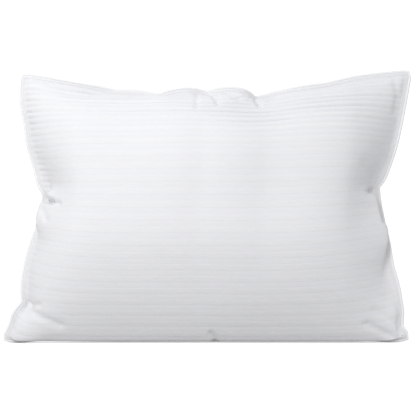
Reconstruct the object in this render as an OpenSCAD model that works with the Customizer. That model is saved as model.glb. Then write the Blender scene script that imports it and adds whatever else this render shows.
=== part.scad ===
// Bed pillow standing on its long edge.
// X runs along the width, Y through the thickness (the front faces -Y) and Z up.
// The origin is on the floor, under the middle of the pillow. Millimetres.

/* [Casing] */
// Width of each panel between the stitch lines at the top corners
panel_top_w = 682; // [560:1:830]
// Width of each panel between the stitch lines at the bottom corners
panel_bottom_w = 712; // [590:1:860]
// Height of the casing from its bottom stitch line to the stitch line at the top corners
panel_h = 465; // [380:1:560]
// Thickness of the filled pillow at its fullest place
loft = 190; // [110:1:230]
// Sideways offset of the two top corners from the middle of the base
top_shift = 14; // [0:1:30]
// How far the top stitch line sags below its corners
top_sag = 33; // [10:1:50]
// How far the left side is pulled in at its pinch
pinch_left = 51; // [20:1:70]
// How far the right side is pulled in at its pinch
pinch_right = 54; // [20:1:70]
// Height of both pinches, as a share of the casing's height
pinch_height = 0.57; // [0.4:0.005:0.7]
// Thickness of the woven cotton of the panels
fabric_t = 0.5; // [0.3:0.1:0.9]

/* [Edging] */
// Width of the flat edging outside the stitch line, with its piping
edging_w = 10; // [8:0.5:14]
// Diameter of the filler cord inside the piping
cord_d = 4; // [3:0.1:5]
// Thickness of the bias tape that covers the cord
tape_t = 0.5; // [0.3:0.1:0.7]
// Width of tape that lies inside the casing, past the stitch line
seam_allowance = 4; // [2:0.5:6]
// Distance from the foot of the bulge out to the topstitching
stitch_inset = 1.2; // [0.9:0.1:2]
// Diameter of the sewing thread
thread_d = 0.4; // [0.3:0.05:0.6]

/* [Base] */
// How far the weight of the fill presses the lower bulge down, before the floor flattens it
settle = 80; // [60:1:95]
// Gap between the edging and the floor, in the groove under the pillow
floor_gap = 2; // [1:0.5:5]

/* [Closing seam] */
// Length of the opening that is sewn shut after filling
opening_w = 180; // [120:1:240]
// Distance from one closing stitch to the next
closing_pitch = 5; // [4:0.5:8]
// Length of one closing stitch
closing_stitch_l = 4.5; // [3:0.5:6]

/* [Care label] */
// Length of the label, from the seam to its free end
label_l = 60; // [30:1:80]
// Width of the label along the seam
label_w = 38; // [20:1:60]
// Thickness of the label's satin ribbon
label_t = 0.5; // [0.3:0.1:1]
// Height of the label's middle, as a share of the casing's height
label_height = 0.82; // [0.75:0.01:0.88]

/* [Fits] */
// Clearance between neighbouring layers of cloth
layer_gap = 0.1; // [0.05:0.05:0.3]
// Clearance between the filler cord and the tape round it
cord_gap = 0.2; // [0.1:0.05:0.4]
// Clearance between the casing and the fill
fill_gap = 0.6; // [0.4:0.1:2]
// Clearance between the label and the back panel
label_gap = 1.2; // [1:0.1:2]

/* [Hidden] */

// Grid of each panel: cells along the width and the height, closer together at the edges
CELLS_U = 32;
CELLS_V = 24;
EDGE_BIAS = 0.72;
// Shape of the bulge: how flat its middle is, how steep its rim, and how low the fill has settled
CROWN = 2.6;
RIM = 0.75;
FILL_LOW = 0.9;
// Height over which the base is pressed, as a share of the casing's height
SETTLE_REACH = 0.12;
// Steepest drop of the bulge beside the bottom edging, for each unit that it stands out
GROOVE = 1.6;
// Rows of the grid between the stitch line and the edge of the fill
FILL_ROW = 3;
CORD_SIDES = 10;
THREAD_SIDES = 5;
// Tilt of each closing stitch from the stitch line, in degrees
CLOSING_SLANT = 15;
LABEL_CELLS = 10;
LABEL_ROOT = 0.012;
// Small step along the width that measures a slope
STEP = 0.002;

cord_hole_r = cord_d / 2 + cord_gap;
piping_r = cord_hole_r + tape_t;
piping_offset = edging_w - piping_r;
// Width of the flat band between the foot of the bulge and the piping
edge_offset = edging_w - 2 * piping_r;
thread_r = thread_d / 2;
// The flat edging's layers, each measured from the middle plane of the pillow
leg_in = thread_r + layer_gap;
leg_out = leg_in + tape_t;
panel_in = leg_out + layer_gap;
panel_out = panel_in + 2 * fabric_t;
bulge = loft / 2 - panel_out;
// The bottom stitch line stays above the floor by the edging and its gap
seam_z = edging_w + floor_gap;

function blend(a, b, t) = a + (b - a) * t;
function unit(v) = v / norm(v);
function spread(i, cells) = blend(i / cells, (1 - cos(180 * i / cells)) / 2, EDGE_BIAS);

// Stitch outline
// Share of a side's pinch at height v: it rises evenly to the pinch and fades faster above it
function pinch_share(v) = v < pinch_height ? pow(v / pinch_height, 0.85)
                                           : pow((1 - v) / (1 - pinch_height), 1.5);
function left_x(v) = blend(-panel_bottom_w / 2, top_shift - panel_top_w / 2, v)
                     + pinch_left * pinch_share(v);
function right_x(v) = blend(panel_bottom_w / 2, top_shift + panel_top_w / 2, v)
                      - pinch_right * pinch_share(v);
function top_z(u) = seam_z + panel_h - top_sag * pow(sin(180 * u), 1.2);

// Bulge of one panel, 0 at its stitch line and 1 at its fullest place
function crown(t) = pow(max(0, 1 - pow(abs(2 * t - 1), CROWN)), RIM);
function swell(u, v) = crown(u) * crown(pow(v, FILL_LOW));
// A point of the front panel's outside, with the base flattened on the floor
function on_rim(u, v) = u <= 0 || u >= 1 || v <= 0 || v >= 1;
function raised_z(u, v) = blend(seam_z, top_z(u), v);
function pressed_z(u, v) =
    max(0, raised_z(u, v) - min(settle * crown(u) * exp(-v / SETTLE_REACH), GROOVE * bulge * swell(u, v)));
function skin(u, v) = [blend(left_x(v), right_x(v), u),
                       -panel_out - bulge * swell(u, v),
                       on_rim(u, v) ? raised_z(u, v) : pressed_z(u, v)];

function grid_u(i) = spread(i, CELLS_U);
function grid_v(j) = spread(j, CELLS_V);
SKIN = [for (i = [0 : CELLS_U]) [for (j = [0 : CELLS_V]) skin(grid_u(i), grid_v(j))]];
// Outward direction at a grid point: straight out of the flat edging, square to the bulge inside it
function grid_normal(i, j) =
    i == 0 || i == CELLS_U || j == 0 || j == CELLS_V
        ? [0, -1, 0]
        : unit(cross(SKIN[i + 1][j] - SKIN[i - 1][j], SKIN[i][j + 1] - SKIN[i][j - 1]));
NORMAL = [for (i = [0 : CELLS_U]) [for (j = [0 : CELLS_V]) grid_normal(i, j)]];

// The foot of the bulge: grid cells in order round the panel, its points, and its outward directions
RIM_CELLS = concat([for (i = [0 : CELLS_U - 1]) [i, 0]],
                   [for (j = [0 : CELLS_V - 1]) [CELLS_U, j]],
                   [for (i = [CELLS_U : -1 : 1]) [i, CELLS_V]],
                   [for (j = [CELLS_V : -1 : 1]) [0, j]]);
RIM_COUNT = len(RIM_CELLS);
function rim_place(i, j) =
    j == 0 ? i
    : i == CELLS_U ? CELLS_U + j
    : j == CELLS_V ? 2 * CELLS_U + CELLS_V - i
    : 2 * CELLS_U + 2 * CELLS_V - j;
STITCH = [for (c = RIM_CELLS) [SKIN[c[0]][c[1]][0], 0, SKIN[c[0]][c[1]][2]]];
function rim_out(k) =
    let (t = STITCH[(k + 1) % RIM_COUNT] - STITCH[(k + RIM_COUNT - 1) % RIM_COUNT])
    unit([t[2], 0, -t[0]]);
OUTWARD = [for (k = [0 : RIM_COUNT - 1]) rim_out(k)];

// Quads of a grid with rows of the given length, seen from the -Y side
function grid_faces(first, cells_u, cells_v) =
    [for (i = [0 : cells_u - 1]) for (j = [0 : cells_v - 1])
        let (a = first + i * (cells_v + 1) + j, b = a + cells_v + 1)
        for (f = [[a, a + 1, b + 1], [a, b + 1, b]]) f];
function turned(faces) = [for (f = faces) [f[2], f[1], f[0]]];
// Triangles of a strip between two closed rings of point numbers
function strip(ring_a, ring_b) =
    [for (k = [0 : len(ring_a) - 1])
        let (n = (k + 1) % len(ring_a))
        for (f = [[ring_a[k], ring_a[n], ring_b[n]], [ring_a[k], ring_b[n], ring_b[k]]]) f];

// A profile, as [outward, through] pairs, carried round the whole stitch line
module swept_round(profile, offset) {
    count = len(profile);
    points = [for (k = [0 : RIM_COUNT - 1]) for (p = profile)
                 STITCH[k] + OUTWARD[k] * (offset + p[0]) + [0, p[1], 0]];
    rings = [for (k = [0 : RIM_COUNT - 1]) [for (q = [0 : count - 1]) k * count + q]];
    faces = [for (k = [0 : RIM_COUNT - 1])
                for (f = strip(rings[(k + 1) % RIM_COUNT], rings[k])) f];
    polyhedron(points, faces, convexity = 6);
}

function disc(r, sides) = [for (k = [0 : sides - 1]) r * [cos(360 * k / sides), sin(360 * k / sides)]];

// A point of the panel's inside: at the fold it sits a little further in, so the cloth turns round it
function inner_point(i, j) =
    on_rim(i / CELLS_U, j / CELLS_V)
        ? [SKIN[i][j][0], -panel_in, SKIN[i][j][2]] - OUTWARD[rim_place(i, j)] * 2 * fabric_t
        : SKIN[i][j] - NORMAL[i][j] * fabric_t;

// One panel of striped cotton: the bulge, and the turned-in edge that lies flat in the edging
module panel() {
    grid_size = (CELLS_U + 1) * (CELLS_V + 1);
    skin_points = [for (i = [0 : CELLS_U]) for (j = [0 : CELLS_V]) SKIN[i][j]];
    back_points = [for (i = [0 : CELLS_U]) for (j = [0 : CELLS_V]) inner_point(i, j)];
    edge = [for (y = [-panel_out, -panel_in]) for (k = [0 : RIM_COUNT - 1])
               STITCH[k] + OUTWARD[k] * edge_offset + [0, y, 0]];
    rim = [for (c = RIM_CELLS) c[0] * (CELLS_V + 1) + c[1]];
    back_rim = [for (r = rim) r + grid_size];
    edge_ring = [for (k = [0 : RIM_COUNT - 1]) 2 * grid_size + k];
    back_edge_ring = [for (k = edge_ring) k + RIM_COUNT];
    faces = concat(grid_faces(0, CELLS_U, CELLS_V), turned(grid_faces(grid_size, CELLS_U, CELLS_V)),
                   strip(rim, edge_ring), strip(edge_ring, back_edge_ring), strip(back_edge_ring, back_rim));
    polyhedron(concat(skin_points, back_points, edge), faces, convexity = 6);
}

module front_panel() {
    color("white") panel();
}

module back_panel() {
    color("white") mirror([0, 1, 0]) panel();
}

// Loose polyester fibre: it fills the casing up to the seam allowance, and stays clear of the groove
// that the bottom edging stands in
module fiber_fill() {
    depth = fabric_t + fill_gap;
    last_i = CELLS_U - FILL_ROW;
    last_j = CELLS_V - FILL_ROW;
    row = last_j - FILL_ROW + 1;
    half = [for (i = [FILL_ROW : last_i]) for (j = [FILL_ROW : last_j]) SKIN[i][j] - NORMAL[i][j] * depth];
    far_half = [for (p = half) [p[0], -p[1], p[2]]];
    cells = concat([for (i = [FILL_ROW : last_i - 1]) [i, FILL_ROW]],
                   [for (j = [FILL_ROW : last_j - 1]) [last_i, j]],
                   [for (i = [last_i : -1 : FILL_ROW + 1]) [i, last_j]],
                   [for (j = [last_j : -1 : FILL_ROW + 1]) [FILL_ROW, j]]);
    middle = [for (c = cells) [SKIN[c[0]][c[1]][0], 0, raised_z(grid_u(c[0]), grid_v(c[1]))]];
    rim = [for (c = cells) (c[0] - FILL_ROW) * row + c[1] - FILL_ROW];
    far_rim = [for (r = rim) r + len(half)];
    middle_rim = [for (k = [0 : len(cells) - 1]) 2 * len(half) + k];
    color("ghostwhite")
        polyhedron(concat(half, far_half, middle),
                   concat(grid_faces(0, last_i - FILL_ROW, row - 1),
                          turned(grid_faces(len(half), last_i - FILL_ROW, row - 1)),
                          strip(rim, middle_rim), strip(middle_rim, far_rim)),
                   convexity = 4);
}

// Filler cord that gives the piping its round edge
module piping_cord() {
    color("ivory") swept_round(disc(cord_d / 2, CORD_SIDES), piping_offset);
}

// Bias tape folded round the cord: an open loop with two legs that run back into the seam
module piping_tape() {
    leg_end = -piping_offset - seam_allowance;
    open_angle = asin((leg_in + tape_t) / piping_r) + 4;
    turns = [for (k = [0 : CORD_SIDES]) blend(180 - open_angle, open_angle - 180, k / CORD_SIDES)];
    outer = [for (a = turns) piping_r * [cos(a), sin(a)]];
    inner = [for (k = [CORD_SIDES : -1 : 0]) cord_hole_r * [cos(turns[k]), sin(turns[k])]];
    neck_x = -piping_r;
    profile = concat([[leg_end, leg_out], [neck_x, leg_out]], outer,
                     [[neck_x, -leg_out], [leg_end, -leg_out], [leg_end, -leg_in], [neck_x, -leg_in]],
                     inner, [[neck_x, leg_in], [leg_end, leg_in]]);
    color("white") swept_round([for (k = [len(profile) - 1 : -1 : 0]) profile[k]], piping_offset);
}

// Lockstitch thread beside the piping, between the legs of the tape, that joins all the layers
module joining_thread() {
    color("snow") swept_round(disc(thread_r, THREAD_SIDES), edge_offset - thread_d);
}

// Second row of thread, at the foot of the bulge, that holds the edging flat
module topstitch(side) {
    y = side * (panel_out + thread_r + layer_gap);
    ring = [for (p = disc(thread_r, THREAD_SIDES)) [p[0], p[1] + y]];
    color("snow") swept_round(ring, stitch_inset);
}

module front_topstitch() {
    topstitch(-1);
}

module back_topstitch() {
    topstitch(1);
}

// Slanted stitches that close the filling gap, on the back of the bottom edging
module closing_stitches() {
    count = floor(opening_w / closing_pitch);
    y = panel_out + layer_gap;
    z = seam_z - blend(stitch_inset, edge_offset, 0.5);
    color("snow")
        for (k = [0 : count])
            translate([(k - count / 2) * closing_pitch, y, z])
                rotate([0, CLOSING_SLANT, 0])
                    translate([-closing_stitch_l / 2, 0, -thread_r])
                        cube([closing_stitch_l, thread_d, thread_d]);
}

// Blank satin label, caught by its end in the left side of the back and lying on the panel
label_z = seam_z + label_height * panel_h;
function on_panel(u, z) = skin(u, (z - seam_z) / (top_z(u) - seam_z));
function panel_normal(u, z) =
    unit(cross(on_panel(u + STEP, z) - on_panel(u - STEP, z), on_panel(u, z + 1) - on_panel(u, z - 1)));
function along(u) = norm(on_panel(u + STEP, label_z) - on_panel(u, label_z)) / STEP;
// The label leaves the stitch line in one straight step and then follows the bulge in equal steps
label_step = (label_l - LABEL_ROOT * along(LABEL_ROOT)) / (LABEL_CELLS - 1);
function walk(u, steps) = steps == 0 ? u : walk(u + label_step / along(u), steps - 1);
LABEL_U = concat([0], [for (i = [0 : LABEL_CELLS - 1]) walk(LABEL_ROOT, i)]);
// A point at a step of the label's length, at a height and at a lift above the panel
function label_point(i, z, lift) =
    let (p = i == 0 ? on_panel(0, z) - [0, lift - label_gap + thread_d + 2 * layer_gap, 0]
                    : on_panel(LABEL_U[i], z) + panel_normal(LABEL_U[i], z) * lift)
    [p[0], -p[1], p[2]];

module care_label() {
    sheet = [for (lift = [label_gap, label_gap + label_t]) for (i = [0 : LABEL_CELLS]) for (side = [-1, 0, 1])
                label_point(i, label_z + side * label_w / 2, lift)];
    half = 3 * (LABEL_CELLS + 1);
    last = 3 * LABEL_CELLS;
    rim = concat([for (i = [0 : LABEL_CELLS - 1]) 3 * i], [last, last + 1],
                 [for (i = [LABEL_CELLS : -1 : 1]) 3 * i + 2], [2, 1]);
    color("white")
        polyhedron(sheet,
                   concat(grid_faces(0, LABEL_CELLS, 2), turned(grid_faces(half, LABEL_CELLS, 2)),
                          strip(rim, [for (r = rim) r + half])),
                   convexity = 2);
}

front_panel();
back_panel();
fiber_fill();
piping_tape();
piping_cord();
joining_thread();
front_topstitch();
back_topstitch();
closing_stitches();
care_label();
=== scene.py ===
import math

import bpy
import numpy as np
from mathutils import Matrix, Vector
from mathutils.bvhtree import BVHTree


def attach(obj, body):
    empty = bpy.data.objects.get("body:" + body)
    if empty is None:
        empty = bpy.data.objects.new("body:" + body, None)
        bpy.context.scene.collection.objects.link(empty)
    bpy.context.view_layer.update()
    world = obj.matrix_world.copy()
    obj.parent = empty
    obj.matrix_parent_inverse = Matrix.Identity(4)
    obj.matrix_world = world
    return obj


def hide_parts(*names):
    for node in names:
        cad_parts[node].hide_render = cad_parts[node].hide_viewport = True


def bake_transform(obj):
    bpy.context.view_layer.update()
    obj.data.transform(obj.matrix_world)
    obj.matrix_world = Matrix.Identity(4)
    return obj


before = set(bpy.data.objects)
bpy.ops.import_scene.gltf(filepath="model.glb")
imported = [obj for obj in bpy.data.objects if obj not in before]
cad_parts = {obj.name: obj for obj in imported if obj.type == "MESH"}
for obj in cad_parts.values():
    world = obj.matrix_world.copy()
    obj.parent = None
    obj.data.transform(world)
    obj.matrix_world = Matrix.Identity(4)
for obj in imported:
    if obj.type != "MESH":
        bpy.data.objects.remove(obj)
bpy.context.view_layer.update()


# ---- Casing: the seam --------------------------------------------------------------------------
# Two panels of cotton, each 742 x 488 mm between its stitch lines, are joined all round. Filling the
# bag draws the seam in: it sags along the top, waves there, and is pinched in the middle of each side.
PANEL_WIDTH, PANEL_HEIGHT = 0.742, 0.488

# Where the seam ends up, in millimetres: each leg is one smooth run, and legs meet at a sharp bend
LOW_LEFT, LOW_RIGHT = (-357, -2, 11), (351, -6, 13)
TOP_LEFT, TOP_RIGHT = (-327, 0, 474), (355, 0, 479)
TOP_NOTCH, MIDDLE_DIP, SHARP_NOTCH = (-86, 4, 438), (-2, 4, 444), (86, 8, 434)
LEFT_PINCH, LEFT_NOTCH = (-289, 16, 268), (-326, 5, 72)
RIGHT_PINCH, RIGHT_NOTCH = (301, 18, 283), (342, 0, 56)
SEAM_BOTTOM = [[LOW_LEFT, (-300, 6, 6), (-200, 8, 4), (0, 8, 4), (200, 8, 4), (300, 6, 5), LOW_RIGHT]]
SEAM_RIGHT = [
    [LOW_RIGHT, (341, 0, 30), RIGHT_NOTCH],
    [RIGHT_NOTCH, (335, 4, 100), (325, 9, 140), (319, 14, 180), (312, 18, 215), (304, 18, 255),
     RIGHT_PINCH],
    [RIGHT_PINCH, (312, 16, 296), (323, 13, 325), (332, 8, 356), (341, 3, 400), (348, 0, 440), TOP_RIGHT],
]
SEAM_TOP = [
    [TOP_LEFT, (-300, 0, 470), (-257, 0, 463), (-214, 0, 455), (-190, 6, 450), (-165, 12, 448),
     (-125, 12, 447), TOP_NOTCH],
    [TOP_NOTCH, (-64, -3, 445), (-36, -6, 448), MIDDLE_DIP],
    [MIDDLE_DIP, (20, -5, 448), (43, -7, 449), (66, -4, 445), SHARP_NOTCH],
    [SHARP_NOTCH, (100, 16, 440), (128, 15, 446), (152, 10, 450), (182, 3, 454), (215, 0, 458),
     (258, 0, 468), (300, 0, 474), TOP_RIGHT],
]
SEAM_LEFT = [
    [LOW_LEFT, (-346, -2, 34), (-340, -3, 52), LEFT_NOTCH],
    [LEFT_NOTCH, (-326, 3, 105), (-321, 6, 141), (-311, 10, 180), (-300, 15, 215), (-293, 17, 250),
     LEFT_PINCH],
    [LEFT_PINCH, (-299, 15, 286), (-307, 12, 320), (-317, 7, 356), (-321, 3, 392), (-328, 0, 428),
     TOP_LEFT],
]


def smooth_run(points, steps=24):
    """A smooth line through the points of one leg."""
    p = np.array(points, float)
    p = np.vstack([2 * p[0] - p[1], p, 2 * p[-1] - p[-2]])
    t = np.linspace(0, 1, steps, endpoint=False)[:, None]
    line = [
        0.5 * (2 * b + (c - a) * t + (2 * a - 5 * b + 4 * c - d) * t**2 + (3 * b - a - 3 * c + d) * t**3)
        for a, b, c, d in zip(p, p[1:], p[2:], p[3:])
    ]
    return np.vstack(line + [p[-2]])


def along(legs, count):
    """count + 1 points, evenly spaced along a side of the seam, in metres."""
    line = np.vstack([smooth_run(leg) for leg in legs]) * 0.001
    walked = np.concatenate([[0], np.cumsum(np.linalg.norm(np.diff(line, axis=0), axis=1))])
    at = np.linspace(0, walked[-1], count + 1)
    return np.stack([np.interp(at, walked, line[:, k]) for k in range(3)], axis=1)


# ---- Casing: sewing and filling ----------------------------------------------------------------
# The flat panels are sewn into a bag and filled: the seam is drawn to its place while the fill pushes
# the cloth out from inside, over a floor. The cloth gives a little in its height and gathers in width.
ACROSS, UP = 96, 92
SEWN_WIDTH, SEWN_HEIGHT = 0.708, 0.500
FILL_PRESSURE = 8.0
DRAW_FRAMES, FILL_FRAMES = 20, 40

bpy.ops.object.select_all(action="DESELECT")
bpy.ops.mesh.primitive_grid_add(x_subdivisions=ACROSS, y_subdivisions=UP, size=1)
bag = bpy.context.object
bag.name = "bag"
bag.scale = (SEWN_WIDTH, SEWN_HEIGHT, 1)
bag.rotation_euler.x = math.radians(90)
bag.location.z = SEWN_HEIGHT / 2
bpy.ops.object.transform_apply(location=True, rotation=True, scale=True)
for side in ("front", "back"):
    bag.data.materials.append(bpy.data.materials.new(side))
bpy.ops.object.mode_set(mode="EDIT")
bpy.ops.mesh.select_all(action="SELECT")
bpy.ops.mesh.duplicate()
bpy.ops.mesh.flip_normals()
bag.active_material_index = 1
bpy.ops.object.material_slot_assign()
bpy.ops.object.mode_set(mode="OBJECT")


def read_points(mesh):
    co = np.empty(len(mesh.vertices) * 3)
    mesh.vertices.foreach_get("co", co)
    return co.reshape(-1, 3)


def flat_places(mesh):
    """Column and row in the cut cloth of every vertex."""
    vertex = np.empty(len(mesh.loops), int)
    mesh.loops.foreach_get("vertex_index", vertex)
    uv = np.empty(len(mesh.loops) * 2)
    mesh.uv_layers[0].data.foreach_get("uv", uv)
    place = np.empty((len(mesh.vertices), 2))
    place[vertex] = uv.reshape(-1, 2)
    return np.rint(place * (ACROSS, UP)).astype(int)


def on_seam(place):
    return (place[:, 0] == 0) | (place[:, 0] == ACROSS) | (place[:, 1] == 0) | (place[:, 1] == UP)


# The two layers are parted a little inside the seam, and their edges are sewn together
PARTED = 0.004
place = flat_places(bag.data)
co = read_points(bag.data)
half = len(co) // 2
co[:, 1] = np.where(on_seam(place), 0, np.where(np.arange(len(co)) < half, -PARTED, PARTED))
bag.data.vertices.foreach_set("co", co.ravel())
bpy.ops.object.mode_set(mode="EDIT")
bpy.ops.mesh.select_all(action="SELECT")
bpy.ops.mesh.remove_doubles(threshold=0.0005)
bpy.ops.object.mode_set(mode="OBJECT")

# The seam's place, and a tuck at each pinch where the cloth is nipped in beside it
sides = {
    "bottom": along(SEAM_BOTTOM, ACROSS), "right": along(SEAM_RIGHT, UP),
    "top": along(SEAM_TOP, ACROSS), "left": along(SEAM_LEFT, UP),
}
place = flat_places(bag.data)
co = read_points(bag.data)
drawn = co.copy()
held = on_seam(place)
for (column, row), k in zip(place[held], np.flatnonzero(held)):
    if row == 0:
        drawn[k] = sides["bottom"][column]
    elif row == UP:
        drawn[k] = sides["top"][column]
    else:
        drawn[k] = sides["left"][row] if column == 0 else sides["right"][row]
TUCK_CELLS, TUCK_STEP, TUCK_OPENING, TUCK_MOUTH, TUCK_DROP = 4, 0.0050, 0.0022, 0.0015, 0.001
for side, pinch, inward in (("left", LEFT_PINCH, 1), ("right", RIGHT_PINCH, -1)):
    nearest = int(np.argmin(abs(sides[side][:, 2] - pinch[2] * 0.001)))
    for k in range(1, TUCK_CELLS + 1):
        column = k if inward > 0 else ACROSS - k
        for v in np.flatnonzero((place[:, 0] == column) & (place[:, 1] == nearest)):
            out = np.sign(co[v, 1]) * (TUCK_MOUTH + TUCK_OPENING * k)
            drawn[v] = sides[side][nearest] + (inward * TUCK_STEP * k, out, -TUCK_DROP * k)
            held[v] = True

pins = bag.vertex_groups.new(name="held")
pins.add(np.flatnonzero(held).tolist(), 1.0, "REPLACE")
bag.shape_key_add(name="flat")
pulled = bag.shape_key_add(name="drawn")
pulled.data.foreach_set("co", drawn.ravel())
pulled.value = 0
pulled.keyframe_insert("value", frame=1)
pulled.value = 1
pulled.keyframe_insert("value", frame=DRAW_FRAMES)

bpy.ops.mesh.primitive_plane_add(size=2, location=(0, 0, 0))
table = bpy.context.object
bpy.ops.object.modifier_add(type="COLLISION")
table.collision.thickness_outer = 0.001
table.collision.cloth_friction = 20

bpy.context.view_layer.objects.active = bag
bpy.ops.object.modifier_add(type="CLOTH")
cloth = bag.modifiers[-1]
cotton = cloth.settings
cotton.quality = 5
cotton.tension_stiffness = 40
cotton.compression_stiffness = 0.3
cotton.shear_stiffness = 0.2
cotton.bending_stiffness = 20
cotton.use_pressure = True
cotton.uniform_pressure_force = FILL_PRESSURE
cotton.vertex_group_mass = "held"
cotton.effector_weights.gravity = 0
cloth.collision_settings.distance_min = 0.001
cloth.point_cache.frame_end = FILL_FRAMES
for f in range(1, FILL_FRAMES + 1):
    bpy.context.scene.frame_set(f)
bpy.ops.object.select_all(action="DESELECT")
bag.select_set(True)
bpy.ops.object.convert(target="MESH")
bpy.data.objects.remove(table)

# The fibre bridges small waves away from the seam, so the middle of each panel is smooth
SMOOTH_FROM, SMOOTH_TO = 0.012, 0.06
from_seam = np.minimum.reduce([
    place[:, 0] * SEWN_WIDTH / ACROSS, (ACROSS - place[:, 0]) * SEWN_WIDTH / ACROSS,
    place[:, 1] * SEWN_HEIGHT / UP, (UP - place[:, 1]) * SEWN_HEIGHT / UP,
])
loose = bag.vertex_groups.new(name="loose")
for k, share in enumerate(np.clip((from_seam - SMOOTH_FROM) / (SMOOTH_TO - SMOOTH_FROM), 0, 1)):
    loose.add([k], float(share), "REPLACE")
bpy.ops.object.modifier_add(type="SMOOTH")
bag.modifiers[-1].vertex_group = "loose"
bag.modifiers[-1].factor = 0.5
bag.modifiers[-1].iterations = 240
bpy.ops.object.modifier_apply(modifier=bag.modifiers[-1].name)

# What each panel's cloth does once it is full: the fibre packs hard in the middle and fills out the
# top rim, and its weight spreads the base on the floor
FULLNESS = 0.165
SWELL_SIDE, SWELL_TOP, SWELL_BASE = 1.3, 1.55, 0.95
SWELL_REACH = 0.11
RIM_LIFT, RIM_REACH = 0.011, 0.065
BELLY, BELLY_AT, BELLY_REACH = 0.006, 0.190, 0.055
SINK, SINK_REACH, LOWEST, LANDING = 0.013, 0.045, 0.0036, 0.004
# Where the front hangs past the seam: the end, how far, from and to what height, and the run in
HANGS = ((-1, 0.021, 0.180, 0.285, 0.050), (1, 0.025, 0.105, 0.285, 0.100))
HANG_REACH, HANG_RUN_OUT = 0.020, 0.032

co = read_points(bag.data)
u, v = place[:, 0] / ACROSS, place[:, 1] / UP
from_top, from_base = (1 - v) * SEWN_HEIGHT, v * SEWN_HEIGHT
middle = np.interp(u, np.linspace(0, 1, ACROSS + 1), sides["bottom"][:, 1]) * (1 - v)
middle += np.interp(u, np.linspace(0, 1, ACROSS + 1), sides["top"][:, 1]) * v
swell = SWELL_SIDE + (SWELL_TOP - SWELL_SIDE) * np.exp(-((from_top / SWELL_REACH) ** 2))
swell += (SWELL_BASE - SWELL_SIDE) * np.exp(-((from_base / SWELL_REACH) ** 2))
swell = 1 + (swell - 1) * np.clip(np.sin(np.pi * u) * 2.2, 0, 1)
away = co[:, 1] - middle
inside = ~on_seam(place)
full = np.sign(away) * FULLNESS * (1 - np.exp(-swell * abs(away) / FULLNESS))
belly = BELLY * np.exp(-(((co[:, 2] - BELLY_AT) / BELLY_REACH) ** 2)) * np.sin(np.pi * u)
co[inside, 1] = (middle + full + np.sign(away) * belly)[inside]
rim = from_top / RIM_REACH * np.exp(1 - from_top / RIM_REACH) * np.clip(np.sin(np.pi * u) * 1.3, 0, 1)
co[inside, 2] += (RIM_LIFT * rim)[inside]
co[inside, 2] -= (SINK * np.exp(-co[:, 2] / SINK_REACH))[inside]
# Below each pinch the front hangs out past the seam
for end, out, low, high, run_in in HANGS:
    from_end = (u if end < 0 else 1 - u) * SEWN_WIDTH
    share = np.clip((co[:, 2] - low) / run_in, 0, 1) * np.clip((high - co[:, 2]) / HANG_RUN_OUT, 0, 1)
    share = share * share * (3 - 2 * share)
    hang = from_end / HANG_REACH * np.exp(1 - from_end / HANG_REACH)
    co[:, 0] += end * out * share * hang * (inside & (away < 0))

# The lowest cloth comes to rest on the floor without a kink
above = co[:, 2] - LOWEST
settled = LOWEST + LANDING * np.log1p(np.exp(above / LANDING))
settled -= LANDING * np.log(2) * np.exp(-abs(above) / 0.02)
co[inside, 2] = settled[inside]
bag.data.vertices.foreach_set("co", co.ravel())


# ---- Front and back panels ---------------------------------------------------------------------
# White cotton woven with satin stripes along the pillow's length. Each panel is one cut of cloth,
# stitched to the edging all round: its edge is turned in beyond the stitch line and lies flat there.
CLOTH = 0.00045
STRIPE = PANEL_HEIGHT / 23
BAND = 0.0046
PANEL_LIFT, TURNED_LIFT = 0.00165, 0.00115
FINE_ACROSS, FINE_UP = 2 * ACROSS, 2 * UP

bpy.ops.object.select_all(action="DESELECT")
bag.select_set(True)
bpy.context.view_layer.objects.active = bag
fill = bag.copy()
fill.data = bag.data.copy()
bpy.context.collection.objects.link(fill)
fill.select_set(False)
bpy.ops.object.mode_set(mode="EDIT")
bpy.ops.mesh.select_all(action="SELECT")
bpy.ops.mesh.separate(type="MATERIAL")
bpy.ops.object.mode_set(mode="OBJECT")
panels = {}
for piece in bpy.context.selected_objects:
    side = piece.data.materials[piece.data.polygons[0].material_index].name
    panels[side] = piece
    piece.name = side + "_panel_cloth"
    piece.data.uv_layers[0].name = "cloth"


def cloth_grid(piece, across, up):
    """The vertex at each column and row of a panel."""
    vertex = np.empty(len(piece.data.loops), int)
    piece.data.loops.foreach_get("vertex_index", vertex)
    uv = np.empty(len(piece.data.loops) * 2)
    piece.data.uv_layers["cloth"].data.foreach_get("uv", uv)
    spot = np.rint(uv.reshape(-1, 2) * (across, up)).astype(int)
    grid = np.zeros((across + 1, up + 1), int)
    grid[spot[:, 0], spot[:, 1]] = vertex
    return grid


def apply_all(piece):
    bpy.ops.object.select_all(action="DESELECT")
    piece.select_set(True)
    bpy.context.view_layer.objects.active = piece
    for modifier in list(piece.modifiers):
        bpy.ops.object.modifier_apply(modifier=modifier.name)


def round_trip(grid):
    """Rows or columns of a grid in one ring: along the bottom, up the right side, back and down."""
    return np.concatenate([grid[:-1, 0], grid[-1, :-1], grid[:0:-1, -1], grid[0, :0:-1]])


shells, grids = {}, {}
for side, piece in panels.items():
    finer = piece.modifiers.new("finer", "SUBSURF")
    finer.levels = finer.render_levels = 1
    finer.boundary_smooth = "PRESERVE_CORNERS"
    finer.uv_smooth = "NONE"
    apply_all(piece)
    grids[side] = cloth_grid(piece, FINE_ACROSS, FINE_UP)
    shells[side] = read_points(piece.data)[grids[side]]

# Around the stitch line: the way along it, the way out from the pillow, and the way to the front
stitch_line = round_trip(shells["front"])
ring = len(stitch_line)


def even_out(values, reach):
    """Evens a value out along the stitch line, over a number of its points."""
    span = np.arange(-3 * reach, 3 * reach + 1)
    weight = np.exp(-0.5 * (span / reach) ** 2)
    weight /= weight.sum()
    return sum(w * np.roll(values, -k, axis=0) for w, k in zip(weight, span))


def unit(v):
    return v / np.linalg.norm(v, axis=-1, keepdims=True)


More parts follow.
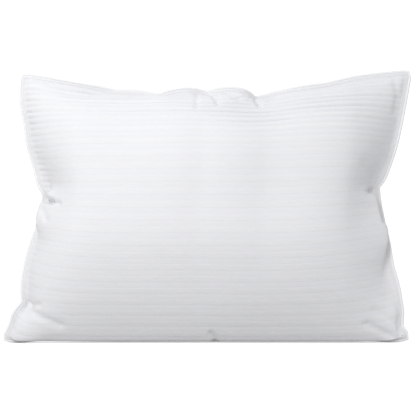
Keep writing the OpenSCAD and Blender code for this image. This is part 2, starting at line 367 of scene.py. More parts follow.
ahead = unit(np.roll(stitch_line, -1, axis=0) - np.roll(stitch_line, 1, axis=0))
outward = np.stack([ahead[:, 2], np.zeros(ring), -ahead[:, 0]], axis=1)
outward = unit(even_out(outward, 2))
LEAN_AT, MOST_TILT = 3, 0.9
lean = []
for side, way in (("front", -1), ("back", 1)):
    inner = shells[side][LEAN_AT:-LEAN_AT, LEAN_AT:-LEAN_AT]
    inner = np.pad(inner, ((LEAN_AT, LEAN_AT), (LEAN_AT, LEAN_AT), (0, 0)), mode="edge")
    leaves = round_trip(inner) - stitch_line
    lean.append(np.arctan2(way * leaves[:, 1], -(leaves * outward).sum(axis=1)))
tilt = even_out(np.clip((lean[0] - lean[1]) / 2, -MOST_TILT, MOST_TILT), 3)

# Under the pillow the edging is folded back and lies on the floor
FOLD_FROM, FOLD_TO, FOLD_END, FOLD_FADE, FOLD_ANGLE = 0.045, 0.016, 0.354, 0.05, 1.5
lies = np.clip((FOLD_FROM - stitch_line[:, 2]) / (FOLD_FROM - FOLD_TO), 0, 1)
lies = lies * lies * (3 - 2 * lies) * np.clip((FOLD_END - abs(stitch_line[:, 0])) / FOLD_FADE, 0, 1)
lies = even_out(lies, 3)
tilt = tilt * (1 - lies) + lies * FOLD_ANGLE
outward = outward * np.cos(tilt)[:, None] + np.array([0, 1, 0]) * np.sin(tilt)[:, None]
outward = unit(even_out(outward, 2))
forward = unit(np.cross(outward, ahead))
outward = unit(np.cross(ahead, forward))


def beside(out, lift):
    """Points along the stitch line, so far out on the edging and so far in front of its middle."""
    return stitch_line + outward * np.reshape(out, (-1, 1)) + forward * np.reshape(lift, (-1, 1))


# The stripes stand up a little all over, and more towards the seams. Beside the top and the left side
# the cloth is gathered, and puckers twice in each stripe.
STRIPE_MIDDLE, STRIPE_SHOULDER, STRIPE_BASE = 0.00015, 0.0007, 0.0004
SHOULDER_REACH = 0.105
GATHER_TOP, GATHER_SIDE = 0.0056, 0.0020
TOP_SLACK, SIDE_SLACK, CORNER_SLACK = 0.088, 0.026, 0.10
FULLEST_AT, FULLEST_REACH = 0.62, 0.25
SEAM_HOLD, CLEAR_OF_FLOOR = 0.004, 0.0012
# Creases in the front: where each runs across the panel, in millimetres, its depth and its width
CREASES = [
    ([(64, 452), (84, 440), (91, 424)], 7.0, 4.0),
    ([(-4, 452), (10, 443), (18, 426)], 6.0, 4.0),
    ([(-19, 452), (-20, 418)], 3.5, 3.5),
    ([(30, 449), (56, 434)], 4.0, 4.0),
    ([(-306, 262), (-298, 259), (-280, 254)], 15.0, 4.5),
    ([(-280, 254), (-262, 250)], 5.0, 4.0),
    ([(-300, 270), (-282, 266)], -4.0, 5.0),
    ([(-296, 240), (-286, 222)], 3.0, 5.0),
    ([(-328, 66), (-296, 48), (-262, 34)], 3.5, 7.0),
    ([(-330, 76), (-316, 68), (-300, 70)], 4.0, 5.0),
    ([(308, 284), (318, 297), (330, 318)], 9.0, 4.0),
    ([(311, 276), (286, 272)], 7.0, 4.0),
    ([(300, 292), (276, 320)], 2.0, 8.0),
    ([(333, 466), (338, 442), (333, 412)], 2.5, 5.0),
    ([(282, 36), (312, 20), (340, 6)], 3.5, 6.0),
    ([(296, 60), (324, 44), (344, 34)], 2.0, 7.0),
    ([(6, 18), (12, 9), (14, 0)], 4.0, 5.0),
]
fine_u, fine_v = np.meshgrid(
    np.linspace(0, 1, FINE_ACROSS + 1), np.linspace(0, 1, FINE_UP + 1), indexing="ij"
)
below_top, above_base = (1 - fine_v) * PANEL_HEIGHT, fine_v * PANEL_HEIGHT
from_side = np.minimum(fine_u, 1 - fine_u) * PANEL_WIDTH


def ridge(pitch):
    """Rounded ridges along the panel with a sharp valley between them, 1 high in all."""
    valley = abs((fine_v * PANEL_HEIGHT / pitch + 0.5) % 1 - 0.5) * pitch
    return 0.35 - 0.5 * np.exp(-valley / 0.0040) - 0.5 * np.exp(-((valley / 0.0024) ** 2))


def crease_depth(points, route, depth, width):
    """How deep the cloth is pressed by one crease, at each point of a panel."""
    flat = points[:, :, [0, 2]]
    near = np.full(flat.shape[:2], np.inf)
    for a, b in zip(route, route[1:]):
        a, way = np.array(a) * 0.001, (np.array(b) - np.array(a)) * 0.001
        t = np.clip(((flat - a) @ way) / (way @ way), 0, 1)
        near = np.minimum(near, np.linalg.norm(flat - a - t[..., None] * way, axis=2))
    return depth * 0.001 * np.exp(-((near / (width * 0.001)) ** 2))


for side, piece in panels.items():
    normal = np.empty(len(piece.data.vertices) * 3)
    piece.data.vertices.foreach_get("normal", normal)
    normal = normal.reshape(-1, 3)[grids[side]]
    points = shells[side].copy()
    slack = STRIPE_MIDDLE + STRIPE_SHOULDER * np.exp(-((below_top / SHOULDER_REACH) ** 2))
    slack += STRIPE_BASE * np.exp(-((above_base / SHOULDER_REACH) ** 2))
    fullest = 0.45 + 0.8 * np.exp(-(((fine_u - FULLEST_AT) / FULLEST_REACH) ** 2))
    gathers = GATHER_TOP * fullest * np.exp(-((below_top / TOP_SLACK) ** 3))
    gathers *= np.clip(from_side / CORNER_SLACK, 0.25, 1)
    upper_left = np.clip((fine_v - 0.35) / 0.3, 0.25, 1) * (1 - np.clip((fine_u - 0.4) / 0.2, 0, 1))
    gathers += GATHER_SIDE * upper_left * np.exp(-((from_side / SIDE_SLACK) ** 2))
    gathers *= 0.85 + 0.15 * np.sin(23 * fine_u + 31 * fine_v)
    rise = slack * ridge(STRIPE) + gathers * ridge(STRIPE / 2)
    if side == "front":
        for route, depth, width in CREASES:
            rise -= crease_depth(points, route, depth, width)
    from_seam = np.minimum(from_side, np.minimum(below_top, above_base))
    rise *= np.clip(from_seam / SEAM_HOLD, 0, 1)
    points += normal * rise[..., None]
    points[:, 1:, 2] = np.maximum(points[:, 1:, 2], CLEAR_OF_FLOOR)
    shells[side] = points
    co = read_points(piece.data)
    co[grids[side].ravel()] = points.reshape(-1, 3)
    piece.data.vertices.foreach_set("co", co.ravel())
    piece.data.update()

# Each panel's edge: out along the edging, folded under, and back between the layers
FOLD_ROUND, TURNED_END, TURNED_IN = 0.0003, 0.0006, 0.009
for side, piece in panels.items():
    way = 1 if side == "front" else -1
    rim = round_trip(grids[side])
    co = read_points(piece.data)
    co[rim] = beside(0, way * PANEL_LIFT)
    piece.data.vertices.foreach_set("co", co.ravel())
    rows = [
        beside(BAND * 0.5, way * PANEL_LIFT), beside(BAND, way * PANEL_LIFT),
        beside(BAND + FOLD_ROUND, way * 0.5 * (PANEL_LIFT + TURNED_LIFT)), beside(BAND, way * TURNED_LIFT),
        beside(TURNED_END, way * TURNED_LIFT),
    ]
    edge = bpy.data.meshes.new("turned edge")
    points = np.concatenate([co[rim]] + rows)
    faces = []
    for row in range(len(rows)):
        for k in range(ring):
            a, b = row * ring + k, row * ring + (k + 1) % ring
            faces.append([a, a + ring, b + ring, b] if side == "front" else [a, b, b + ring, a + ring])
    edge.from_pydata(points.tolist(), [], faces)
    layer = edge.uv_layers.new(name="cloth")
    where = np.stack([round_trip(fine_u), round_trip(fine_v)], axis=1)
    off = np.array([0, BAND * 0.5, BAND, BAND, BAND, TURNED_END])
    spread_uv = np.concatenate([where + (where - 0.5) * 2 * o for o in off])
    loop_vertex = np.empty(len(edge.loops), int)
    edge.loops.foreach_get("vertex_index", loop_vertex)
    layer.data.foreach_set("uv", spread_uv[loop_vertex].ravel())
    turned = bpy.data.objects.new("turned edge", edge)
    bpy.context.collection.objects.link(turned)
    bpy.ops.object.select_all(action="DESELECT")
    turned.select_set(True)
    piece.select_set(True)
    bpy.context.view_layer.objects.active = piece
    bpy.ops.object.join()
    bpy.ops.object.mode_set(mode="EDIT")
    bpy.ops.mesh.select_all(action="SELECT")
    bpy.ops.mesh.remove_doubles(threshold=0.00001)
    bpy.ops.mesh.normals_make_consistent(inside=False)
    bpy.ops.object.mode_set(mode="OBJECT")
    bpy.ops.object.modifier_add(type="SOLIDIFY")
    piece.modifiers[-1].thickness = CLOTH
    piece.modifiers[-1].offset = 0
    apply_all(piece)
    bpy.ops.object.shade_smooth_by_angle(angle=math.radians(60))


class Number:
    """A number that varies over a surface: sums written with it add their Math nodes."""

    def __init__(self, finish, socket):
        self.finish, self.socket = finish, socket

    def reckon(self, operation, a, b=0.0):
        return self.finish.reckon(operation, a, b)

    def __add__(self, other):
        return self.reckon("ADD", self, other)

    def __sub__(self, other):
        return self.reckon("SUBTRACT", self, other)

    def __rsub__(self, other):
        return self.reckon("SUBTRACT", other, self)

    def __mul__(self, other):
        return self.reckon("MULTIPLY", self, other)

    __radd__, __rmul__ = __add__, __mul__


class Shading:
    """A set of nodes. node() adds every node, and fill_in() sets or links its sockets."""

    def __init__(self, tree):
        self.tree, self.nodes = tree, tree.nodes

    def fill_in(self, node, values):
        for name, value in values.items():
            if isinstance(value, Number):
                self.tree.links.new(value.socket, node.inputs[name])
            else:
                node.inputs[name].default_value = value

    def node(self, kind, settings, values, output=0):
        node = self.nodes.new(kind)
        for name, value in settings.items():
            setattr(node, name, value)
        self.fill_in(node, values)
        return Number(self, node.outputs[output])

    def reckon(self, operation, a, b=0.0):
        return self.node("ShaderNodeMath", {"operation": operation}, {0: a, 1: b})


class Finish(Shading):
    """A material. Its constants are set on the shader."""

    def __init__(self, name, constants):
        self.material = bpy.data.materials.new(name)
        self.material.use_nodes = True
        super().__init__(self.material.node_tree)
        self.shader = self.nodes["Principled BSDF"]
        self.fill_in(self.shader, constants)

    def noise(self, place, scale, detail=3.0):
        return self.node("ShaderNodeTexNoise", {}, {"Vector": place, "Scale": scale, "Detail": detail})

    def stretched(self, place, scale):
        return self.node("ShaderNodeMapping", {}, {"Vector": place, "Scale": scale})

    def part(self, place, axis):
        return self.node("ShaderNodeSeparateXYZ", {}, {"Vector": place}, axis)

    def blend(self, share, one, other):
        """From one colour to the other, as share goes from 0 to 1."""
        return self.node("ShaderNodeMix", {"data_type": "RGBA"}, {0: share, 6: one, 7: other}, 2)

    def raised(self, height, distance, strength=1.0):
        return self.node("ShaderNodeBump", {}, {
            "Height": height, "Distance": distance, "Strength": strength,
        })

    def place(self):
        return self.node("ShaderNodeTexCoord", {}, {}, 3)


# The cotton: white, with satin stripes that shine a little more, each edged by a finer line that is grooved
# in the bump and darkened with a faint painted shade, where the cloth's valleys run
# The darker white serves the yarn's own slubs and patches, and the painted shade at the stripe edges
WHITE, WHITE_SATIN, WHITE_SLUB_AND_SHADE = (0.73, 0.73, 0.74, 1), (0.745, 0.745, 0.75, 1), (0.67, 0.67, 0.69, 1)
YARN = 0.00042
cotton_cloth = Finish("striped cotton", {
    "Sheen Weight": 0.15, "Sheen Roughness": 0.5, "Specular IOR Level": 0.25,
})
on_cloth = cotton_cloth.node("ShaderNodeUVMap", {"uv_map": "cloth"}, {})
across = cotton_cloth.part(on_cloth, 0) * PANEL_WIDTH
up = cotton_cloth.part(on_cloth, 1) * PANEL_HEIGHT
wave = cotton_cloth.reckon("SINE", up * (2 * math.pi / STRIPE))
satin = cotton_cloth.node("ShaderNodeMapRange", {"interpolation_type": "SMOOTHSTEP"}, {
    "Value": wave, "From Min": -0.25, "From Max": 0.25,
})
# line marks the stripe edges, where the valleys run: it darkens the colour as painted shade and grooves the
# bump
line = 1 - cotton_cloth.node("ShaderNodeMapRange", {"interpolation_type": "SMOOTHSTEP"}, {
    "Value": cotton_cloth.reckon("ABSOLUTE", wave), "From Min": 0.0, "From Max": 0.30,
})
slubs = cotton_cloth.noise(cotton_cloth.stretched(on_cloth, (60, 900, 1)), 1.0)
patches = cotton_cloth.noise(cotton_cloth.place(), 9.0, 2.0)
warp = cotton_cloth.reckon("SINE", across * (2 * math.pi / YARN))
weft = cotton_cloth.reckon("SINE", (up + across * 0.35) * (2 * math.pi / YARN))
weave = warp * 0.5 + weft * (0.3 + 0.4 * satin)
white = cotton_cloth.blend(satin, WHITE, WHITE_SATIN)
# Towards the darker white: painted shade along the stripe edges (line), and the yarn's own uneven tone
# (slubs, patches)
white = cotton_cloth.blend(0.05 * line + 0.10 * slubs + 0.12 * patches, white, WHITE_SLUB_AND_SHADE)
crumple = cotton_cloth.noise(cotton_cloth.stretched(cotton_cloth.place(), (30, 30, 42)), 1.0, 4.0)
relief = cotton_cloth.raised(weave * 0.10 + satin * 0.6 - line * 0.4 + slubs * 0.8 + crumple * 4.0, 0.00025)
cotton_cloth.fill_in(cotton_cloth.shader, {
    "Base Color": white, "Roughness": 0.82 - 0.22 * satin + 0.06 * slubs, "Normal": relief,
})
for side, piece in panels.items():
    piece.data.materials.clear()
    piece.data.materials.append(cotton_cloth.material)
    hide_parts(side + "_panel")
    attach(piece, "pillow")


# ---- Fibre fill --------------------------------------------------------------------------------
# Loose, crimped polyester fibre, blown into the sewn bag until it is plump. It takes the bag's shape,
# a little inside the cloth, and clumps into soft tufts.
FILL_GAP, TUFT, TUFT_SIZE = 0.0032, 0.0014, 0.018
LEAST_FILL, SEAM_DRAW = 0.35, 0.55
fill.name = "fiber_fill_wadding"
co = read_points(fill.data)
number = {}
for k, (column, row) in enumerate(place):
    number.setdefault((column, row), []).append(k)
partner = np.arange(len(co))
for pair in number.values():
    if len(pair) == 2:
        partner[pair[0]], partner[pair[1]] = pair[1], pair[0]
        for k, side in zip(sorted(pair), ("front", "back")):
            co[k] = shells[side][2 * place[k][0], 2 * place[k][1]]
middle = (co + co[partner]) / 2
half = co - middle
reach = np.linalg.norm(half, axis=1, keepdims=True)
inner = middle + half * np.maximum(LEAST_FILL, 1 - FILL_GAP / np.maximum(reach, 1e-6))
column, row = place[:, 0], place[:, 1]
beside_seam = on_seam(place)
for k in np.flatnonzero(beside_seam):
    next_in = (min(max(column[k], 1), ACROSS - 1), min(max(row[k], 1), UP - 1))
    inner[k] = co[k] + SEAM_DRAW * (middle[number[next_in][0]] - co[k])
fill.data.vertices.foreach_set("co", inner.ravel())
bpy.context.view_layer.objects.active = fill
fill.modifiers.new("finer", "SUBSURF").levels = 1
fill.modifiers[-1].render_levels = 1
tufts = bpy.data.textures.new("tufts", "CLOUDS")
tufts.noise_scale = TUFT_SIZE
lumps = fill.modifiers.new("tufts", "DISPLACE")
lumps.texture, lumps.strength, lumps.mid_level = tufts, -TUFT, 0.0
apply_all(fill)
bpy.ops.object.shade_smooth()
wadding = Finish("polyester fibre", {
    "Sheen Weight": 0.35, "Sheen Roughness": 0.7, "Specular IOR Level": 0.2,
})
strands = wadding.noise(wadding.stretched(wadding.place(), (260, 260, 900)), 1.0, 5.0)
clumps = wadding.noise(wadding.place(), 45.0, 3.0)
wadding.fill_in(wadding.shader, {
    "Base Color": wadding.blend(0.6 * clumps + 0.3 * strands, (0.86, 0.86, 0.86, 1), (0.70, 0.70, 0.72, 1)),
    "Roughness": 0.85 + 0.1 * strands,
    "Normal": wadding.raised(strands + clumps * 2.0, 0.0006),
})
fill.data.materials.clear()
fill.data.materials.append(wadding.material)
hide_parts("fiber_fill")
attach(fill, "pillow")


# ---- Piping tape -------------------------------------------------------------------------------
# A strip of plain white cotton cut on the bias and wrapped round a cord. Its two edges lie between
# the panels, where the joining seam holds them.
TAPE, TAPE_LIFT, ALLOWANCE = 0.0004, 0.00058, 0.0036
PIPING_R, CORD_R = 0.0027, 0.0019
TAPE_WIDTH, TAPE_YARN = 0.034, 0.0005
PIPING_OUT = BAND + PIPING_R
wrap = np.radians(np.linspace(166, -166, 19))
tape_out = np.concatenate([[-ALLOWANCE, 0, BAND * 0.9],
                           PIPING_OUT + (PIPING_R - TAPE / 2) * np.cos(wrap), [BAND * 0.9, 0, -ALLOWANCE]])
tape_lift = np.concatenate([[TAPE_LIFT] * 3, (PIPING_R - TAPE / 2) * np.sin(wrap), [-TAPE_LIFT] * 3])


def ring_mesh(name, rows, closed):
    """A mesh from rows of points that each run round the whole pillow."""
    points = np.concatenate(rows)
    count = len(rows) if closed else len(rows) - 1
    faces = []
    for row in range(count):
        for k in range(ring):
            a, b = row * ring, (row + 1) % len(rows) * ring
            faces.append((a + k, a + (k + 1) % ring, b + (k + 1) % ring, b + k))
    mesh = bpy.data.meshes.new(name)
    mesh.from_pydata(points.tolist(), [], faces)
    mesh.update()
    walked = np.linalg.norm(np.roll(stitch_line, -1, axis=0) - stitch_line, axis=1)
    walked = np.concatenate([[0], np.cumsum(walked)])[:ring]
    across_it = np.linspace(0, 1, len(rows)) * TAPE_WIDTH
    where = np.stack([np.tile(walked, len(rows)), np.repeat(across_it, ring)], axis=1)
    vertex = np.empty(len(mesh.loops), int)
    mesh.loops.foreach_get("vertex_index", vertex)
    mesh.uv_layers.new(name="cloth").data.foreach_set("uv", where[vertex].ravel())
    piece = bpy.data.objects.new(name, mesh)
    bpy.context.collection.objects.link(piece)
    bpy.ops.object.select_all(action="DESELECT")
    piece.select_set(True)
    bpy.context.view_layer.objects.active = piece
    return piece


tape = ring_mesh("piping_tape_bias", [beside(o, l) for o, l in zip(tape_out, tape_lift)], closed=False)
bpy.ops.object.mode_set(mode="EDIT")
bpy.ops.mesh.select_all(action="SELECT")
bpy.ops.mesh.normals_make_consistent(inside=False)
bpy.ops.object.mode_set(mode="OBJECT")
bpy.ops.object.modifier_add(type="SOLIDIFY")
tape.modifiers[-1].thickness = TAPE
tape.modifiers[-1].offset = 0
apply_all(tape)
bpy.ops.object.shade_smooth_by_angle(angle=math.radians(50))
bias = Finish("bias tape", {"Sheen Weight": 0.15, "Sheen Roughness": 0.5, "Specular IOR Level": 0.25})
on_tape = bias.node("ShaderNodeUVMap", {"uv_map": "cloth"}, {})
along_tape, over_tape = bias.part(on_tape, 0), bias.part(on_tape, 1)
threads = bias.reckon("SINE", (along_tape + over_tape) * (2 * math.pi / TAPE_YARN))
picks = bias.reckon("SINE", (along_tape - over_tape) * (2 * math.pi / TAPE_YARN))
pulls = bias.noise(bias.stretched(on_tape, (160, 40, 1)), 1.0)
bias.fill_in(bias.shader, {
    "Base Color": bias.blend(0.25 * pulls, (0.84, 0.84, 0.845, 1), (0.76, 0.76, 0.78, 1)),
    "Roughness": 0.8 + 0.08 * pulls,
    "Normal": bias.raised(threads * picks * 0.2 + pulls * 1.5, 0.00025),
})
tape.data.materials.append(bias.material)
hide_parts("piping_tape")
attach(tape, "pillow")


# ---- Piping cord -------------------------------------------------------------------------------
# Soft cotton filler cord, three strands twisted together, that runs inside the tape all the way round.
CORD_SIDES, STRANDS, TWIST = 12, 3, 0.014
walked = np.concatenate([[0], np.cumsum(np.linalg.norm(np.diff(stitch_line, axis=0), axis=1))])
turns = round(walked[-1] / TWIST)
angle = np.linspace(0, 2 * math.pi, CORD_SIDES, endpoint=False)
rows = []
for a in angle:
    twisted = a - 2 * math.pi * turns * walked / walked[-1] / STRANDS
    strand = CORD_R * (0.90 + 0.10 * np.cos(STRANDS * twisted))
    rows.append(beside(PIPING_OUT + strand * math.cos(a), strand * math.sin(a)))
cord = ring_mesh("piping_cord_twisted", rows, closed=True)
bpy.ops.object.mode_set(mode="EDIT")
bpy.ops.mesh.select_all(action="SELECT")
bpy.ops.mesh.normals_make_consistent(inside=False)
bpy.ops.object.mode_set(mode="OBJECT")
bpy.ops.object.shade_smooth()
filler = Finish("cotton cord", {"Sheen Weight": 0.2, "Sheen Roughness": 0.6, "Specular IOR Level": 0.2})
yarns = filler.noise(filler.stretched(filler.place(), (700, 700, 260)), 1.0, 4.0)
filler.fill_in(filler.shader, {
    "Base Color": filler.blend(yarns, (0.84, 0.80, 0.70, 1), (0.74, 0.69, 0.58, 1)),
    "Roughness": 0.85 + 0.1 * yarns,
    "Normal": filler.raised(yarns, 0.0004),
})
cord.data.materials.append(filler.material)
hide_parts("piping_cord")
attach(cord, "pillow")


# ---- Joining seam and topstitching -------------------------------------------------------------
# Spun polyester thread. The joining seam runs through the tape between the panels; when the panels
# are turned right side out, a row of topstitches holds their folded edges down, front and back.
THREAD_R, STITCH, STITCH_GAP = 0.00022, 0.0026, 0.0005
TOPSTITCH_OUT, JOINING_OUT, BEDDED = 0.0012, 0.0004, 0.4
bpy.ops.object.select_all(action="DESELECT")
bpy.ops.mesh.primitive_uv_sphere_add(segments=6, ring_count=5, radius=1)
one_stitch = bpy.context.object
stitch_points = read_points(one_stitch.data)
stitch_faces = [list(face.vertices) for face in one_stitch.data.polygons]
bpy.data.objects.remove(one_stitch)


def sewn(name, starts, ends, rise):
    """A row of stitches, each from a start to an end, bowed up along rise."""
    points, faces = [], []
    for start, end, lift in zip(starts, ends, rise):
        way = end - start
        length = np.linalg.norm(way)
        way = way / length
        wide = np.cross(way, lift)
        wide /= np.linalg.norm(wide)
        deep = np.cross(wide, way)
        bow = THREAD_R * (1 - stitch_points[:, 2] ** 2)
        spot = (start + end) / 2 + stitch_points[:, 2:3] * way * length / 2
        spot = spot + stitch_points[:, 0:1] * wide * THREAD_R
        spot = spot + (stitch_points[:, 1] * THREAD_R + bow)[:, None] * deep
        faces += [[f + len(points) * len(stitch_points) for f in face] for face in stitch_faces]
        points.append(spot)
    mesh = bpy.data.meshes.new(name)
    mesh.from_pydata(np.concatenate(points).tolist(), [], faces)
    mesh.update()
    piece = bpy.data.objects.new(name, mesh)
    bpy.context.collection.objects.link(piece)
    bpy.ops.object.select_all(action="DESELECT")
    piece.select_set(True)
    bpy.context.view_layer.objects.active = piece
    bpy.ops.object.mode_set(mode="EDIT")
    bpy.ops.mesh.select_all(action="SELECT")
    bpy.ops.mesh.normals_make_consistent(inside=False)
    bpy.ops.object.mode_set(mode="OBJECT")
    bpy.ops.object.shade_smooth()
    piece.data.materials.append(thread.material)
    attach(piece, "pillow")
    return piece


thread = Finish("sewing thread", {"Sheen Weight": 0.1, "Sheen Roughness": 0.4, "Specular IOR Level": 0.4})
plies = thread.node("ShaderNodeTexWave", {"bands_direction": "DIAGONAL"}, {
    "Vector": thread.place(), "Scale": 900.0, "Distortion": 1.0,
})
thread.fill_in(thread.shader, {
    "Base Color": thread.blend(plies, (0.83, 0.83, 0.835, 1), (0.74, 0.74, 0.75, 1)),
    "Roughness": 0.55 + 0.15 * plies,
    "Normal": thread.raised(plies, 0.0001),
})


def on_line(line, at):
    """Points of a line that runs round the pillow, at these distances along the stitch line."""
    closed = np.concatenate([line, line[:1]])
    return np.stack([np.interp(at, round_way, closed[:, k]) for k in range(3)], axis=1)


round_way = np.concatenate([walked, [walked[-1] + np.linalg.norm(stitch_line[0] - stitch_line[-1])]])
pitch = STITCH + STITCH_GAP
count = int(round_way[-1] / pitch)
begin = np.arange(count) * round_way[-1] / count
for name, lift in (("front_topstitch", 1), ("back_topstitch", -1)):
    row = beside(TOPSTITCH_OUT, lift * (PANEL_LIFT + CLOTH / 2 + BEDDED * THREAD_R))
    starts, ends = on_line(row, begin), on_line(row, begin + STITCH)
    piece = sewn(name + "_row", starts, ends, on_line(forward * lift, begin))
    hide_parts(name)
row = beside(JOINING_OUT, 0)
starts, ends = on_line(row, begin), on_line(row, begin + STITCH)
seam = sewn("joining_thread_row", starts, ends, on_line(forward, begin))
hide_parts("joining_thread")


# ---- Closing stitches --------------------------------------------------------------------------
# The gap in the bottom edging through which the bag was filled is closed by hand, from the back, with
# slanted stitches of the same thread.
OPENING, CLOSING_PITCH, CLOSING_LENGTH = 0.180, 0.005, 0.0046
CLOSING_OUT, CLOSING_SLANT = 0.0029, math.radians(25)
base = stitch_line[: FINE_ACROSS]
places = np.arange(-OPENING / 2, OPENING / 2 + 0.001, CLOSING_PITCH)
middle_way = np.interp(places, base[:, 0], round_way[: FINE_ACROSS])
row = beside(CLOSING_OUT, -(PANEL_LIFT + CLOTH / 2 + BEDDED * THREAD_R))
centre = on_line(row, middle_way)
slant = math.cos(CLOSING_SLANT) * on_line(ahead, middle_way)
slant = slant + math.sin(CLOSING_SLANT) * on_line(outward, middle_way)
half_stitch = slant * CLOSING_LENGTH / 2
closing = sewn("closing_stitches_row", centre - half_stitch, centre + half_stitch,
               on_line(-forward, middle_way))
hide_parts("closing_stitches")


# ---- Care label --------------------------------------------------------------------------------
# A blank white satin ribbon, caught by one end in the topstitching at the left of the back. It lies
# on the back panel and can be lifted.
LABEL_LENGTH, LABEL_WIDTH, LABEL_THICK = 0.060, 0.038, 0.0003
LABEL_LOW, LABEL_HIGH = 0.3743, 0.4123
LABEL_GAP, LABEL_CURL = 0.0012, 0.0030
LABEL_STEPS, LABEL_ROWS = 30, 16
LABEL_TUCK, LABEL_BACK, LABEL_SEARCH, LABEL_STRIDE = 0.0015, 0.0026, 0.075, 0.0015
back_skin = BVHTree.FromPolygons(
    [Vector(p) for p in shells["back"].reshape(-1, 3)],
    [(k, k + 1, k + FINE_UP + 2, k + FINE_UP + 1)
     for i in range(FINE_ACROSS) for k in range(i * (FINE_UP + 1), i * (FINE_UP + 1) + FINE_UP)],
)
left_side = stitch_line[2 * FINE_ACROSS + FINE_UP:]
left_out, left_back = outward[2 * FINE_ACROSS + FINE_UP:], -forward[2 * FINE_ACROSS + FINE_UP:]


def at_height(values, z):
    order = np.argsort(left_side[:, 2])
    return np.array([np.interp(z, left_side[order, 2], values[order, k]) for k in range(3)])


label_points = []
for z in np.linspace(LABEL_LOW, LABEL_HIGH, LABEL_ROWS + 1):
    foot = at_height(left_side, z)
    back = at_height(left_back, z)
    caught = foot + at_height(left_out, z) * LABEL_TUCK + back * LABEL_BACK
    route = [caught, foot + back * LABEL_BACK]
    x = foot[0] + 0.004
    while x < foot[0] + LABEL_SEARCH:
        hit, facing, _, _ = back_skin.ray_cast(Vector((x, 0.3, z)), Vector((0, -1, 0)))
        if hit is not None:
            facing = facing if facing.y > 0 else -facing
            route.append(np.array(hit + facing * LABEL_GAP))
        x += LABEL_STRIDE
    route = np.array(route)
    route[2:-1] = (route[1:-2] + 2 * route[2:-1] + route[3:]) / 4
    run = np.concatenate([[0], np.cumsum(np.linalg.norm(np.diff(route, axis=0), axis=1))])
    at = np.linspace(0, LABEL_LENGTH, LABEL_STEPS + 1)
    line = np.stack([np.interp(at, run, route[:, k]) for k in range(3)], axis=1)
    line[:, 1] += LABEL_CURL * (at / LABEL_LENGTH) ** 3
    label_points.append(line)
label_points = np.stack(label_points, axis=1)
for _ in range(3):
    label_points[1:-1] = (label_points[:-2] + 2 * label_points[1:-1] + label_points[2:]) / 4
    label_points[:, 1:-1] = (label_points[:, :-2] + 2 * label_points[:, 1:-1] + label_points[:, 2:]) / 4
rows = LABEL_ROWS + 1
mesh = bpy.data.meshes.new("label")
mesh.from_pydata(label_points.reshape(-1, 3).tolist(), [], [
    (i * rows + j, i * rows + j + 1, (i + 1) * rows + j + 1, (i + 1) * rows + j)
    for i in range(LABEL_STEPS) for j in range(LABEL_ROWS)
])
label = bpy.data.objects.new("care_label_ribbon", mesh)
bpy.context.collection.objects.link(label)
bpy.ops.object.select_all(action="DESELECT")
label.select_set(True)
bpy.context.view_layer.objects.active = label
bpy.ops.object.modifier_add(type="SOLIDIFY")
label.modifiers[-1].thickness = LABEL_THICK
label.modifiers[-1].offset = 0
bpy.ops.object.modifier_add(type="BEVEL")
label.modifiers[-1].width = 0.0001
label.modifiers[-1].segments = 2
apply_all(label)
bpy.ops.object.mode_set(mode="EDIT")
bpy.ops.mesh.select_all(action="SELECT")
bpy.ops.mesh.normals_make_consistent(inside=False)
bpy.ops.object.mode_set(mode="OBJECT")
bpy.ops.object.shade_smooth_by_angle(angle=math.radians(40))
satin_ribbon = Finish("satin label", {
    "Sheen Weight": 0.1, "Sheen Roughness": 0.3, "Specular IOR Level": 0.5,
})
fine = satin_ribbon.node("ShaderNodeTexWave", {"bands_direction": "Z"}, {
    "Vector": satin_ribbon.place(), "Scale": 520.0, "Distortion": 0.4,
})
flecks = satin_ribbon.noise(satin_ribbon.stretched(satin_ribbon.place(), (40, 40, 700)), 1.0)
satin_ribbon.fill_in(satin_ribbon.shader, {
    "Base Color": satin_ribbon.blend(0.3 * flecks, (0.86, 0.86, 0.865, 1), (0.78, 0.78, 0.80, 1)),
    "Roughness": 0.32 + 0.12 * flecks,
    "Normal": satin_ribbon.raised(fine * 0.4 + flecks, 0.00012),
})
label.data.materials.append(satin_ribbon.material)
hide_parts("care_label")
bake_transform(label)


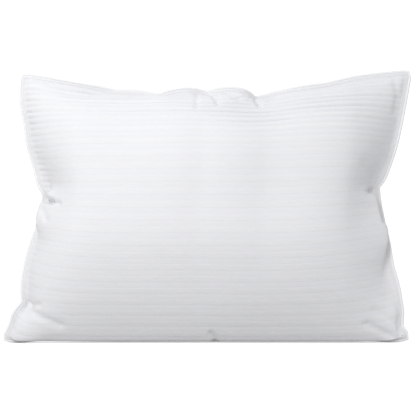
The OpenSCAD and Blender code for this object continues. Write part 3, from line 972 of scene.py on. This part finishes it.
# ---- Studio ------------------------------------------------------------------------------------
# A pale floor and soft light from the upper left of the front; the camera stands level, a little over
# two metres away, and looks straight at the front.
FLOOR, FLOOR_GLOW = (0.68, 0.68, 0.68, 1), 0.50
AMBIENT, BACKDROP = 0.83, 1.2
bpy.ops.object.select_all(action="DESELECT")
bpy.ops.mesh.primitive_plane_add(size=30, location=(0, 0, 0))
floor = bpy.context.object
floor.name = "studio_floor"
plain = {"Base Color": FLOOR, "Roughness": 0.9, "Specular IOR Level": 0.1}
pale = Finish("pale floor", plain)
# The camera sees the floor and the background as white, but the pillow is lit by their softer light
lit = pale.node("ShaderNodeBsdfPrincipled", {}, {
    **plain, "Emission Color": (1, 1, 1, 1), "Emission Strength": FLOOR_GLOW,
})
seen = pale.node("ShaderNodeLightPath", {}, {})
white_floor = pale.node("ShaderNodeMixShader", {}, {
    0: seen, 1: Number(pale, pale.shader.outputs[0]), 2: lit,
})
pale.fill_in(pale.nodes["Material Output"], {0: white_floor})
floor.data.materials.append(pale.material)

world = bpy.data.worlds.new("studio")
world.use_nodes = True
bpy.context.scene.world = world
room = Shading(world.node_tree)
sky = room.nodes["Background"]
room.fill_in(sky, {"Color": (0.97, 0.98, 1.0, 1), "Strength": AMBIENT})
backdrop = room.node("ShaderNodeBackground", {}, {"Color": (1, 1, 1, 1), "Strength": BACKDROP})
seen = room.node("ShaderNodeLightPath", {}, {})
choice = room.node("ShaderNodeMixShader", {}, {
    0: seen, 1: Number(room, sky.outputs[0]), 2: backdrop,
})
room.fill_in(room.nodes["World Output"], {0: choice})

# One square soft box, up on the left
KEY_PLACE, KEY_AIM = (-0.60, -1.40, 1.10), (0, 0, 0.25)
KEY_SIZE, KEY_POWER = 0.8, 14.0
bpy.ops.object.light_add(type="AREA", location=KEY_PLACE)
key = bpy.context.object
key.name = "key_light"
key.data.size = KEY_SIZE
key.data.energy = KEY_POWER
key.rotation_euler = (Vector(KEY_AIM) - Vector(KEY_PLACE)).to_track_quat("-Z", "Y").to_euler()

CAMERA_PLACE, LENS = (0.0003, -2.068, 0.2416), 100
bpy.ops.object.camera_add(location=CAMERA_PLACE, rotation=(math.radians(90), 0, 0))
camera = bpy.context.object
camera.data.lens = LENS
camera.data.sensor_width = 36
bpy.context.scene.camera = camera
bpy.context.scene.view_settings.view_transform = "Standard"
